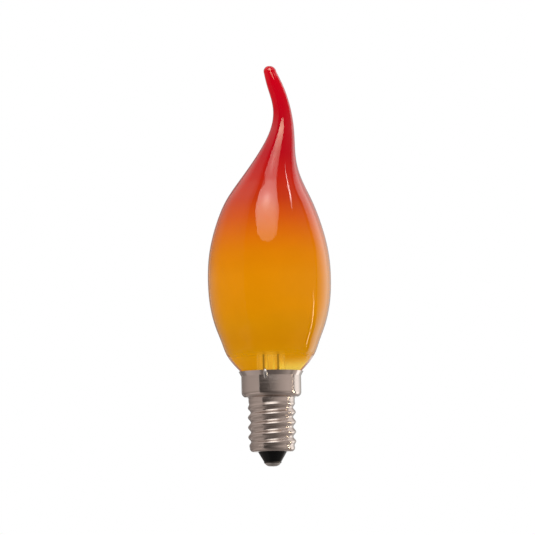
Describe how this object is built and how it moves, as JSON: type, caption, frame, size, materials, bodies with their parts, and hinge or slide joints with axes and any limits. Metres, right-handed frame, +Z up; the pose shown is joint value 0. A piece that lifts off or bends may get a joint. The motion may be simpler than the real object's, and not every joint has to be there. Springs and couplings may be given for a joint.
{
  "type": "led light bulb",
  "caption": "Bent-tip candle lamp on a small screw cap: frosted flame-coloured glass, clear neck window over a glass stem, skirted nickel cap with knuckle thread.",
  "frame": {"origin": "lowest point of the centre contact, on the axis of the cap", "axes": "+Z up the cap's axis towards the flame's tip; the bent tail lies in the XZ plane, first towards +X and back to the axis at its tip"},
  "size_m": [0.0356, 0.0356, 0.116],
  "materials": {
    "frosted_glass": "coloured frosted coat with a gloss skin, amber below and crimson at the tail",
    "clear_glass": "clear, drawn",
    "nickel_plate": "drawn and rolled sheet, nickel plated",
    "black_glass": "black vitreous insulator, gloss",
    "tin_solder": "solder, set as it flowed",
    "contact_plate": "stamped",
    "lamp_cement": "cured cement, matt",
    "lead_wire": "drawn wire",
    "bare_copper": "drawn wire",
    "phosphor_coat": "yellow phosphor in silicone",
    "board_laminate": "laminate with green mask",
    "moulded_black": "moulded, matt",
    "resistor_body": "fired chip with tinned ends",
    "can_sleeve": "shrunk sleeve on an aluminium can",
    "fuse_coat": "dipped coating"
  },
  "bodies": {
    "root": {"glass_envelope": "frosted_glass", "glass_stem": "clear_glass", "lead_in_wire_left": "lead_wire", "lead_in_wire_right": "lead_wire", "top_support_wire": "lead_wire", "cap_shell": "nickel_plate", "cap_insulator": "black_glass", "centre_contact": "contact_plate", "contact_solder": "tin_solder", "cap_cement": "lamp_cement", "rim_solder": "tin_solder", "neutral_wire": "bare_copper", "driver_board": "board_laminate", "bridge_rectifier": "moulded_black", "driver_chip": "moulded_black", "sense_resistor_lower": "resistor_body", "sense_resistor_upper": "resistor_body", "smoothing_capacitor": "can_sleeve", "fusible_resistor": "fuse_coat", "led_filament_1": "phosphor_coat", "filament_tab_lower_1": "lead_wire", "filament_tab_upper_1": "lead_wire", "led_filament_2": "phosphor_coat", "filament_tab_lower_2": "lead_wire", "filament_tab_upper_2": "lead_wire", "led_filament_3": "phosphor_coat", "filament_tab_lower_3": "lead_wire", "filament_tab_upper_3": "lead_wire", "led_filament_4": "phosphor_coat", "filament_tab_lower_4": "lead_wire", "filament_tab_upper_4": "lead_wire"}
  },
  "joints": []
}
